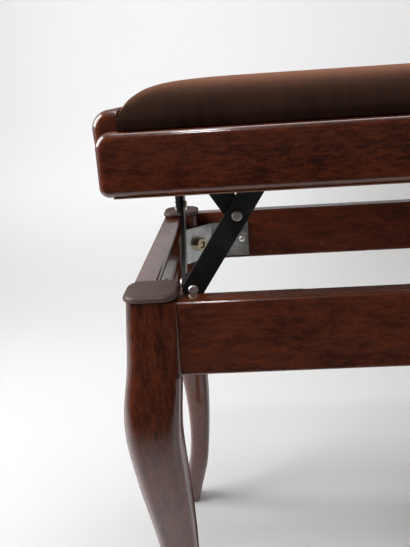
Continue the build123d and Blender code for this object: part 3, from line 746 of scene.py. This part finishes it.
@dataclass
class Leg:
    """Cabriole leg with its low cap, built at the front left corner."""

    post_x: float = 247.75
    post_y: float = 135.75
    rail_end_x: float = 229.5
    rail_end_y: float = 117.5
    rail_top: float = 389.0
    rail_bottom: float = 335.5
    foot: float = 3.0
    outer_share: float = 0.28
    flat_sum: float = 352.521
    cap_width: float = 37.7
    cap_corner: float = 11.0
    cap_top: float = 394.4
    cap_top_round: float = 3.2
    cap_low_round: float = 1.0
    cap_middle_width: float = 8.0
    cap_middle_corner: float = 3.0
    neck_width: float = 32.1
    neck_corner: float = 8.8
    neck_top: float = 389.9
    shaft_rings: int = 90
    edge_gap: float = 1e-5
    cap_rings: int = 9
    stations: tuple[tuple[float, float, float, float], ...] = (
        (0.000, 25.0, 17.2, 0.28),
        (0.075, 23.4, 10.0, 0.28),
        (0.155, 23.0, 2.6, 0.28),
        (0.265, 22.8, -2.7, 0.28),
        (0.420, 27.1, -3.7, 0.28),
        (0.525, 31.6, -1.0, 0.28),
        (0.605, 35.4, 2.1, 0.27),
        (0.670, 37.4, 4.5, 0.26),
        (0.735, 39.2, 6.2, 0.24),
        (0.800, 40.0, 5.1, 0.21),
        (0.860, 38.0, 2.6, 0.16),
        (0.930, 36.2, 1.0, 0.11),
        (1.000, 35.4, -0.6, 0.09),
    )

    def shaft(self) -> Array:
        """Rings below the cap: height, width, corner radius, outer corner radius, outward shift."""
        table = np.array(self.stations)
        length = self.rail_top - self.foot
        edge = (self.rail_bottom - self.foot) / length
        even = np.linspace(0.0, 1.0, self.shaft_rings)
        share = np.sort(np.concatenate([even, [edge - self.edge_gap, edge + self.edge_gap]]))
        at, *columns = table.T
        width, shift, corner = (natural_spline(at, column, share) for column in columns)
        height = self.foot + share * length
        return np.stack([height, width, width * corner, width * self.outer_share, shift], axis=1)

    def cap(self) -> Array:
        """Rings of the neck and the rounded cap, in the same columns."""
        turn = np.linspace(0.0, QUARTER, self.cap_rings)
        low, top = self.cap_low_round, self.cap_top_round
        low_z = self.neck_top + low - low * np.cos(turn)
        top_z = self.cap_top - top + top * np.sin(turn)
        inset = np.concatenate([low - low * np.sin(turn), top - top * np.cos(turn)])
        height = np.concatenate([[self.rail_top, self.neck_top], low_z, top_z, [self.cap_top]])
        neck, middle = self.neck_width, self.cap_middle_width
        width = np.concatenate([[neck, neck], self.cap_width - 2 * inset, [middle]])
        neck, middle = self.neck_corner, self.cap_middle_corner
        radius = np.concatenate([[neck, neck], self.cap_corner - inset, [middle]])
        return np.stack([height, width, radius, radius, np.zeros_like(radius)], axis=1)

    def grid(self) -> Array:
        """Rings of the whole leg in millimetres.

        Between the rails' lower and upper edges the inner half of a ring is
        stretched to the rails' end planes and cut to the flat for the corner plate.
        """
        shaft = self.shaft()
        height, width, radius, outer, shift = np.concatenate([shaft, self.cap()]).T
        rings = rounded_square(width, radius, outer)
        on_shaft = np.arange(len(height)) < len(shaft)
        behind_rail = ((height > self.rail_bottom) & on_shaft)[:, None]
        sides = []
        ends = ((self.post_x, self.rail_end_x), (self.post_y, self.rail_end_y))
        for local, (post, rail_end) in zip(np.moveaxis(rings, -1, 0), ends):
            middle = (post + shift)[:, None]
            stretch = (middle - rail_end) / (width[:, None] / 2)
            sides.append(np.where(behind_rail & (local > 0), local * stretch, local) - middle)
        x, y = sides
        past = np.where(behind_rail, np.maximum(x + y + self.flat_sum, 0.0), 0.0) / 2
        z = np.broadcast_to(height[:, None], x.shape)
        return np.stack([x - past, y - past, z], axis=-1)

    def build(self, palette: Palette) -> None:
        """Places the four legs, mirrored about both upright middle planes."""
        grid = self.grid()
        for corner, signs in CORNERS.items():
            mesh = ring_mesh(f"cabriole_{corner}", grid * (*signs, 1) * MM)
            place_piece(mesh, palette.capped_leg, "base", f"leg_{corner}")


@dataclass
class ScrewHead:
    """Round-headed screw with a cross recess."""

    shank: float = 1.8
    length: float = 9.0
    head: float = 3.6
    head_height: float = 2.2
    recess_depth: float = 1.1
    recess_reach: float = 2.2
    recess_width: float = 0.45
    sides: int = 40
    rim_share: float = 0.35
    dome_share: float = 0.62
    dome_power: float = 0.8
    dome_rings: int = 6
    top_radii: tuple[float, ...] = (2.25, 1.9, 1.5, 1.1, 0.8, 0.5, 0.2)

    def mesh(self, place: Point, way: Point, stack: float) -> Mesh:
        """One screw: a domed head whose surface drops in a cross about its axis.

        Args:
            place: where the screw leaves the wood, in millimetres.
            way: direction of its head.
            stack: thickness of the sheet that it holds.

        Returns:
            The mesh.
        """
        turn = np.linspace(0.0, QUARTER * self.dome_share, self.dome_rings)
        dome_r = self.head * np.cos(turn) ** self.dome_power
        swell = np.sin(turn) / math.sin(turn[-1])
        dome_z = self.head_height * (self.rim_share + (1.0 - self.rim_share) * swell)
        under = self.length
        top_z = np.full(len(self.top_radii), under + self.head_height)
        along = np.concatenate([[0.0, under, under], under + dome_z, top_z])
        radius = np.concatenate([[self.shank, self.shank, self.head], dome_r, self.top_radii])
        radii = np.repeat(radius[:, None], self.sides, axis=1)
        angle = np.linspace(0.0, 4 * QUARTER, self.sides, endpoint=False)
        across = np.minimum(np.abs(radii * np.sin(angle)), np.abs(radii * np.cos(angle)))
        on_top = (np.arange(len(along)) >= len(along) - len(top_z))[:, None]
        in_cross = on_top & (across < self.recess_width) & (radii < self.recess_reach)
        lengths = along[:, None] - np.where(in_cross, self.recess_depth, 0.0)
        start = np.array(place) - np.array(way) * (self.length - stack)
        return turned_mesh("screw", lengths, radii, tuple(start), way)

    def group(self, name: str, seats: list[tuple[Point, Point]], stack: float) -> Mesh:
        """Screws of one node, each with its place and way."""
        return join_meshes(name, [self.mesh(place, way, stack) for place, way in seats])


@dataclass
class LowerFrame:
    """Legs, lower rails, corner plates and their fasteners."""

    leg: Leg = field(default_factory=Leg)
    screw: ScrewHead = field(default_factory=ScrewHead)
    plate_first: tuple[float, float] = (-216.2, -134.2)
    plate_second: tuple[float, float] = (-246.2, -104.2)
    plate_thickness: float = 2.0
    plate_middle: float = 358.0
    screw_run: float = 35.0
    stud_thread: Thread = Thread(crest=4.0, depth=0.45, pitch=1.25, sides=20)
    stud_rings: int = 180
    stud_chamfer: float = 0.8
    stud_in_wood: float = 16.0
    stud_out: float = 7.3
    bracket_screw_x: tuple[float, float] = (-163.7, -150.7)
    bracket_screw_z: float = 362.5

    def studs(self) -> Mesh:
        """Threaded studs through the four corner plates."""
        along = np.linspace(0.0, self.stud_in_wood + self.stud_out, self.stud_rings)
        to_end = np.minimum(along, along[-1] - along)
        chamfer = np.clip(self.stud_chamfer - to_end, 0.0, self.stud_chamfer)
        radius = self.stud_thread.radius(along, Hand.RIGHT) - chamfer[:, None]
        middle = (np.array(self.plate_first) + np.array(self.plate_second)) / 2
        start = np.array([*(middle - self.stud_in_wood / math.sqrt(2)), self.plate_middle])
        meshes = []
        for signs in CORNERS.values():
            place, way = tuple(start * (*signs, 1)), (*signs, 0)
            meshes.append(turned_mesh("stud", along, radius, place, way))
        return join_meshes("corner_studs", meshes)

    def plate_screws(self) -> Mesh:
        """Screws through the corner plates' flanges."""
        front = (self.plate_first[0] + self.screw_run, self.plate_first[1], self.plate_middle)
        side = (self.plate_second[0], self.plate_second[1] + self.screw_run, self.plate_middle)
        seats = []
        for sign_x, sign_y in CORNERS.values():
            for (x, y, z), way in ((front, (0, sign_y, 0)), (side, (sign_x, 0, 0))):
                seats.append(((x * sign_x, y * sign_y, z), way))
        return self.screw.group("corner_screws", seats, self.plate_thickness)

    def bracket_screws(self) -> Mesh:
        """Screws through the pivot brackets' feet."""
        y, z = self.plate_first[1], self.bracket_screw_z
        feet = [(x, sign) for sign in (1, -1) for x in self.bracket_screw_x]
        seats = [((x * sign, y * sign, z), (0, sign, 0)) for x, sign in feet]
        return self.screw.group("foot_screws", seats, self.plate_thickness)

    def build(self, frame: Frame, palette: Palette) -> None:
        """Builds the frame's new pieces and dresses the rest."""
        self.leg.build(palette)
        place_copies(frame, palette.along_x, "base", WOOD, "lower_front_rail", "lower_back_rail")
        place_copies(frame, palette.along_y, "base", WOOD, "lower_left_rail", "lower_right_rail")
        place_piece(self.studs(), palette.yellow_zinc, "base", "hanger_bolts")
        place_piece(self.plate_screws(), palette.nickel, "base", "plate_screws")
        place_piece(self.bracket_screws(), palette.nickel, "base", "bracket_screws")
        dress(frame, palette.galvanised, *(f"corner_plate_{corner}" for corner in CORNERS))
        dress(frame, palette.yellow_zinc, "hanger_nuts")
        dress(frame, palette.plastic, "foot_glides")
        dress(frame, palette.enamel, "front_pivot_bracket", "back_pivot_bracket")


@dataclass
class LiftingGear:
    """Levers, stays, rivets, cross-bars and the hand-turned spindle."""

    spindle_z: float = 473.527
    tip: float = 288.954
    collar_outer: float = 257.7
    collar_inner: float = 253.7
    collar_radius: float = 8.0
    middle_half: float = 75.0
    middle_radius: float = 4.25
    thread: Thread = Thread(crest=5.0, depth=0.75, pitch=4.0, sides=28)
    thread_start: float = 0.4
    thread_end: float = 222.0
    rings_in_pitch: int = 10
    chamfer: float = 0.8

    def spindle(self) -> Mesh:
        """Spindle with a left-hand and a right-hand thread either side of a plain middle."""
        crest = self.thread.crest
        collar, middle = self.collar_radius, self.middle_radius
        first_x = self.middle_half + self.thread_start
        thread_x = np.arange(first_x, self.thread_end, self.thread.pitch / self.rings_in_pitch)
        inner = ((0.0, middle), (self.middle_half, middle), (self.middle_half, crest))
        outer = (
            (self.thread_end, crest), (self.collar_inner, crest), (self.collar_inner, collar),
            (self.collar_outer, collar), (self.collar_outer, crest),
            (self.tip - self.chamfer, crest), (self.tip, crest - self.chamfer),
        )
        threaded = np.stack([thread_x, np.full_like(thread_x, crest)], axis=1)
        half_x, plain = np.concatenate([inner, threaded, outer]).T
        on_thread = np.isin(half_x, thread_x)[:, None]
        right = np.where(on_thread, self.thread.radius(half_x, Hand.RIGHT), plain[:, None])
        left = np.where(on_thread, self.thread.radius(-half_x, Hand.LEFT), plain[:, None])
        along = np.concatenate([-half_x[::-1], half_x[1:]]) + self.tip
        radii = np.concatenate([left[::-1], right[1:]])
        start = (-self.tip, 0.0, self.spindle_z)
        return turned_mesh("threaded_spindle", along, radii, start, (1, 0, 0))

    def build(self, frame: Frame, palette: Palette) -> None:
        """Builds the spindle and dresses the levers and their pins."""
        place_piece(self.spindle(), palette.turned, "drive_screw", "spindle")
        for side in SIDES:
            place_copies(frame, palette.nickel, f"lever_{side}", "nickel", f"{side}_middle_rivet")
            place_copies(frame, palette.enamel, f"lever_{side}", "black_steel", f"{side}_arm")
            place_copies(frame, palette.enamel, f"stay_{side}", "black_steel", f"{side}_link")
        place_copies(frame, palette.nickel, "base", "nickel", "lower_rivets")
        place_copies(frame, palette.nickel, "seat", "nickel", "upper_rivets")
        for side in ("left", "right"):
            place_copies(frame, palette.nickel, f"lever_{side}", "nickel", f"{side}_slide_pin")
            place_copies(
                frame, palette.turned, f"carriage_{side}", "drive_steel", f"{side}_crossbar"
            )
            place_copies(frame, palette.along_x, "drive_screw", WOOD, f"{side}_knob")
        dress(frame, palette.turned, "left_nut_block", "right_nut_block")


@dataclass
class SeatFrame:
    """Seat rails, end rails, guide rails and bushes."""

    screw: ScrewHead = field(default_factory=ScrewHead)
    underside: float = 500.527
    guide_thickness: float = 2.5
    front_x: tuple[float, ...] = tuple(np.linspace(-219.6, 172.149, 5).tolist())
    front_y: float = -139.0
    end_x: float = -245.675
    end_y: tuple[float, ...] = (-117.0, -4.030)

    def guide_screws(self) -> Mesh:
        """Screws up through the guide rails into the seat board."""
        places = [(x, self.front_y) for x in self.front_x] + [(self.end_x, y) for y in self.end_y]
        places += [(-x, -y) for x, y in places]
        seats = [((x, y, self.underside), (0, 0, -1)) for x, y in places]
        return self.screw.group("board_screws", seats, self.guide_thickness)

    def build(self, frame: Frame, palette: Palette) -> None:
        """Builds the screws and dresses the frame."""
        place_copies(frame, palette.along_x, "seat", WOOD, "seat_front_rail", "seat_back_rail")
        place_copies(frame, palette.along_y, "seat", WOOD, "seat_left_end", "seat_right_end")
        place_piece(self.guide_screws(), palette.nickel, "seat", "guide_screws")
        dress(frame, palette.enamel, *(f"{side}_guide_rail" for side in SIDES))
        dress(frame, palette.felt, "felt_strips")
        dress(frame, palette.plastic, "spindle_bushes")
        dress(frame, palette.plywood, "seat_board")


@dataclass
class UpholsteredSeat:
    """Crowned velvet cushion drawn in under the seat board."""

    half_x: float = 257.3
    half_y: float = 158.0
    corner: float = 2.6
    corner_growth: float = 0.5
    corner_spare: float = 0.1
    floor_z: float = 500.527
    widest: float = 6.0
    crown: float = 22.3
    crown_reach: float = 10.4
    crown_power: float = 0.91
    rim_gap: float = 0.4
    draw_in: float = 0.5
    board_x: float = 252.5
    board_y: float = 153.0
    board_top: float = 508.527
    board_gap: float = 0.4
    side_rings: int = 5
    crown_rings: int = 44
    crown_spacing: float = 1.7
    crown_middle: float = 4.0
    pressure: float = 8.0
    frames: int = 20
    swell_cap: float = 0.8
    swell_bins: int = 24
    swell_blend: float = 4.0
    held_margin: float = 0.5
    voxel: float = 6.0
    columns: int = 296

    def outline(self, inset: Array) -> Array:
        """Rings of rounded rectangles set in by a distance, points even along each ring.

        A point is found by its share of half the ring's length, which runs along
        sides and quarter circles in turn. The other half is that one turned about z.
        """
        inset = inset[:, None]
        half_x, half_y = self.half_x - inset, self.half_y - inset
        radius = np.minimum(self.corner + self.corner_growth * inset, half_y - self.corner_spare)
        side_x = half_x - radius
        side_y = half_y - radius
        arc = radius * QUARTER
        lengths = np.concatenate([side_y, arc, 2 * side_x, arc, side_y], axis=1)
        ends = np.cumsum(lengths, axis=1)
        at = np.arange(self.columns // 2) * ends[:, -1:] / (self.columns // 2)
        run = (at[:, :, None] >= ends[:, None, :]).sum(axis=2)
        into = at - np.take_along_axis(ends - lengths, run, axis=1)
        sin, cos = np.sin(into / radius), np.cos(into / radius)
        far_x, far_y = half_x + 0 * at, half_y + 0 * at
        x_runs = [far_x, side_x + radius * cos, side_x - into, -side_x - radius * sin, -far_x]
        y_runs = [into, side_y + radius * sin, far_y, side_y + radius * cos, side_y - into]
        half = np.stack([np.choose(run, x_runs), np.choose(run, y_runs)], axis=-1)
        return np.concatenate([half, -half], axis=1)

    def skin(self) -> Array:
        """Rings of the cover from its lower rim to the crown's middle, in millimetres.

        Above the widest ring the height follows one minus the exponential of a
        power of the distance from the outline; below it the side draws in on an arc.
        """
        turn = np.linspace(0.0, QUARTER, self.side_rings)
        low_inset = self.draw_in * (1 - np.sin(turn))
        low_z = self.rim_gap + (self.widest - self.rim_gap) * (1 - np.cos(turn))
        share = np.linspace(0.0, 1.0, self.crown_rings)[1:] ** self.crown_spacing
        inset = share * (self.half_y - self.crown_middle)
        rise = 1 - np.exp(-((inset / self.crown_reach) ** self.crown_power))
        high_z = self.widest + self.crown * rise
        rings = self.outline(np.concatenate([low_inset, inset]))
        height = self.floor_z + np.concatenate([low_z, high_z])
        z = np.broadcast_to(height[:, None], rings.shape[:2])
        return np.concatenate([rings, z[..., None]], axis=-1)

    def side_distance(self, points: Array) -> Array:
        """Distance in millimetres from the outline's nearest side to points in metres."""
        return np.min((self.half_x, self.half_y) - np.abs(points[..., :2]) / MM, axis=-1)

    def swell(self, grid: Array) -> Array:
        """Lifts the cover's rings by the mean rise of a cloth under pressure, its sides held.

        The cloth is a closed copy of the cover with even faces, and is removed again.

        Args:
            grid: the cover's rings in metres.

        Returns:
            The lifted rings, no point further than the cap from its start.
        """
        cloth = baked(ring_mesh("cover", grid), "REMESH", mode="VOXEL", voxel_size=self.voxel * MM)
        even = add_object("cover", cloth)
        start = vertex_points(cloth)
        shoulder = (self.floor_z + self.widest) * MM
        crown = start[:, 2] > shoulder + self.held_margin * MM
        held = even.vertex_groups.new(name="held")
        held.add(np.flatnonzero(~crown).tolist(), 1.0, "REPLACE")
        settings = even.modifiers.new("cover", "CLOTH").settings
        settings.use_pressure = True
        settings.uniform_pressure_force = self.pressure
        settings.vertex_group_mass = "held"
        settings.effector_weights.gravity = 0.0
        scene = bpy.context.scene
        for step in range(self.frames):
            scene.frame_set(step + 1)
        shaped = even.evaluated_get(bpy.context.evaluated_depsgraph_get())
        moved = vertex_points(shaped.to_mesh())
        scene.frame_set(1)
        bpy.data.objects.remove(even)
        rise = (moved - start)[crown, 2] / MM
        width = self.half_y / self.swell_bins
        bins = np.clip(self.side_distance(start[crown]) / width, 0, self.swell_bins - 1).astype(int)
        count = np.maximum(np.bincount(bins, minlength=self.swell_bins), 1)
        mean = np.bincount(bins, weights=rise, minlength=self.swell_bins) / count
        lift = np.interp(self.side_distance(grid), (np.arange(self.swell_bins) + 0.5) * width, mean)
        free = np.clip((grid[..., 2] - shoulder) / (self.swell_blend * MM), 0.0, 1.0)
        swollen = grid.copy()
        swollen[..., 2] += self.swell_cap * MM / np.abs(mean).max() * lift * free
        return swollen

    def pocket(self) -> Array:
        """Rings under the cover: from its lower rim to the board's edge and over the board."""
        rim = self.outline(np.array([self.draw_in]))[0]
        reach = np.array([self.board_x, self.board_y]) + self.board_gap
        wall = np.clip(rim, -reach, reach)
        low = np.full((self.columns, 1), self.floor_z + self.rim_gap)
        top = np.full((self.columns, 1), self.board_top + self.board_gap)
        return np.stack([np.hstack([wall, top]), np.hstack([wall, low])])

    def build(self, palette: Palette) -> None:
        cover = self.skin() * MM
        cover = self.swell(cover)
        mesh = ring_mesh("velvet_cushion", np.concatenate([self.pocket() * MM, cover]))
        piece = place_piece(mesh, palette.velvet, "seat", "cushion")


@dataclass(frozen=True)
class Lamp:
    """Soft rectangular lamp that faces a point, in metres and watts."""

    name: str
    place: Point
    target: Point
    size: tuple[float, float]
    power: float

    def build(self) -> None:
        """Puts the lamp in the scene."""
        data = bpy.data.lights.new(self.name, "AREA")
        data.shape = "RECTANGLE"
        data.size, data.size_y = self.size
        data.energy = self.power
        lamp = add_object(self.name, data)
        lamp.location = self.place
        way = Vector(self.target) - Vector(self.place)
        lamp.rotation_euler = way.to_track_quat("-Z", "Y").to_euler()


@dataclass
class Studio:
    """Pale floor and backdrop, soft light, and the photograph's camera."""

    eye: Point = (-0.18946, -0.51854, 0.52270)
    yaw: float = -0.0554
    pitch: float = -0.3030
    roll: float = -0.0657
    focal_pixels: float = 595.48
    picture_height: float = 547.0
    sensor: float = 36.0
    clip_start: float = 0.01
    wall_y: float = 1.25
    bend: float = 0.5
    bend_rings: int = 24
    reach: float = 4.0
    wall_top: float = 3.5
    lamps: tuple[Lamp, ...] = (
        Lamp("window", (-1.05, -0.10, 0.95), (-0.2, 0.0, 0.47), (0.7, 0.7), 16.0),
        Lamp("ceiling", (0.0, 0.1, 2.3), (0.0, 0.0, 0.4), (1.2, 0.8), 18.0),
        Lamp("near_tube", (-0.30, -0.55, 2.1), (-0.2, -0.15, 0.45), (0.14, 0.10), 5.0),
        Lamp("far_tube", (-0.28, -1.20, 1.9), (-0.2, -0.15, 0.45), (0.14, 0.10), 5.0),
    )

    def camera(self) -> None:
        """Sets the camera from its turn, tilt and roll."""
        data = bpy.data.cameras.new("photograph_view")
        data.sensor_fit = "VERTICAL"
        data.sensor_height = self.sensor
        data.lens = self.focal_pixels / self.picture_height * self.sensor
        data.clip_start = self.clip_start
        camera = add_object("photograph_view", data)
        aim = Matrix.Rotation(-self.yaw, 4, "Z") @ Matrix.Rotation(QUARTER + self.pitch, 4, "X")
        aim = aim @ Matrix.Rotation(self.roll, 4, "Z")
        camera.matrix_world = Matrix.Translation(self.eye) @ aim
        bpy.context.scene.camera = camera

    def sweep(self, palette: Palette) -> None:
        """Floor that runs up into a backdrop: a straight run, a quarter circle and a wall."""
        turn = np.linspace(0.0, QUARTER, self.bend_rings)
        bend_y = self.wall_y - self.bend + self.bend * np.sin(turn)
        y = np.concatenate([[-self.reach], bend_y, [self.wall_y]])
        z = np.concatenate([[0.0], self.bend - self.bend * np.cos(turn), [self.wall_top]])
        x = np.array([-self.reach, self.reach])
        grid = np.stack(np.broadcast_arrays(x[None, :], y[:, None], z[:, None]), axis=-1)
        rows = len(y)
        start = np.arange(rows - 1) * 2
        faces = np.stack([start, start + 1, start + 3, start + 2], axis=-1)
        mesh = bpy.data.meshes.new("sweep")
        mesh.from_pydata(grid.reshape(-1, 3).tolist(), [], faces.tolist())
        mesh.polygons.foreach_set("use_smooth", np.ones(rows - 1, dtype=bool))
        mesh.update()
        mesh.materials.append(palette.paper)
        floor = add_object("sweep", mesh)

    @staticmethod
    def world() -> None:
        """Soft room: pale all round and dimmer on the side behind the camera."""
        world = bpy.data.worlds.new("room")
        bpy.context.scene.world = world
        world.use_nodes = True
        sheet = NodeSheet(world.node_tree)
        background = next(n for n in world.node_tree.nodes if n.type == "BACKGROUND")
        way = sheet.add("ShaderNodeTexCoord").outputs["Generated"]
        level = sheet.step(sheet.axes(way)[1], -0.65, 0.25, 0.06, 0.92)
        sheet.feed(background, {"Color": WHITE, "Strength": level})

    def build(self, palette: Palette) -> None:
        """Sets camera, sweep, room and lamps."""
        self.camera()
        self.sweep(palette)
        self.world()
        for lamp in self.lamps:
            lamp.build()
        bpy.context.scene.view_settings.view_transform = "Standard"


def main() -> None:
    """Builds the stool's assemblies in order."""
    logging.basicConfig(level=logging.INFO, format="%(name)s: %(message)s")
    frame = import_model()
    palette = Palette()
    LowerFrame().build(frame, palette)
    LiftingGear().build(frame, palette)
    SeatFrame().build(frame, palette)
    UpholsteredSeat().build(palette)
    Studio().build(palette)
    bpy.context.view_layer.update()


if __name__ == "__main__":
    main()
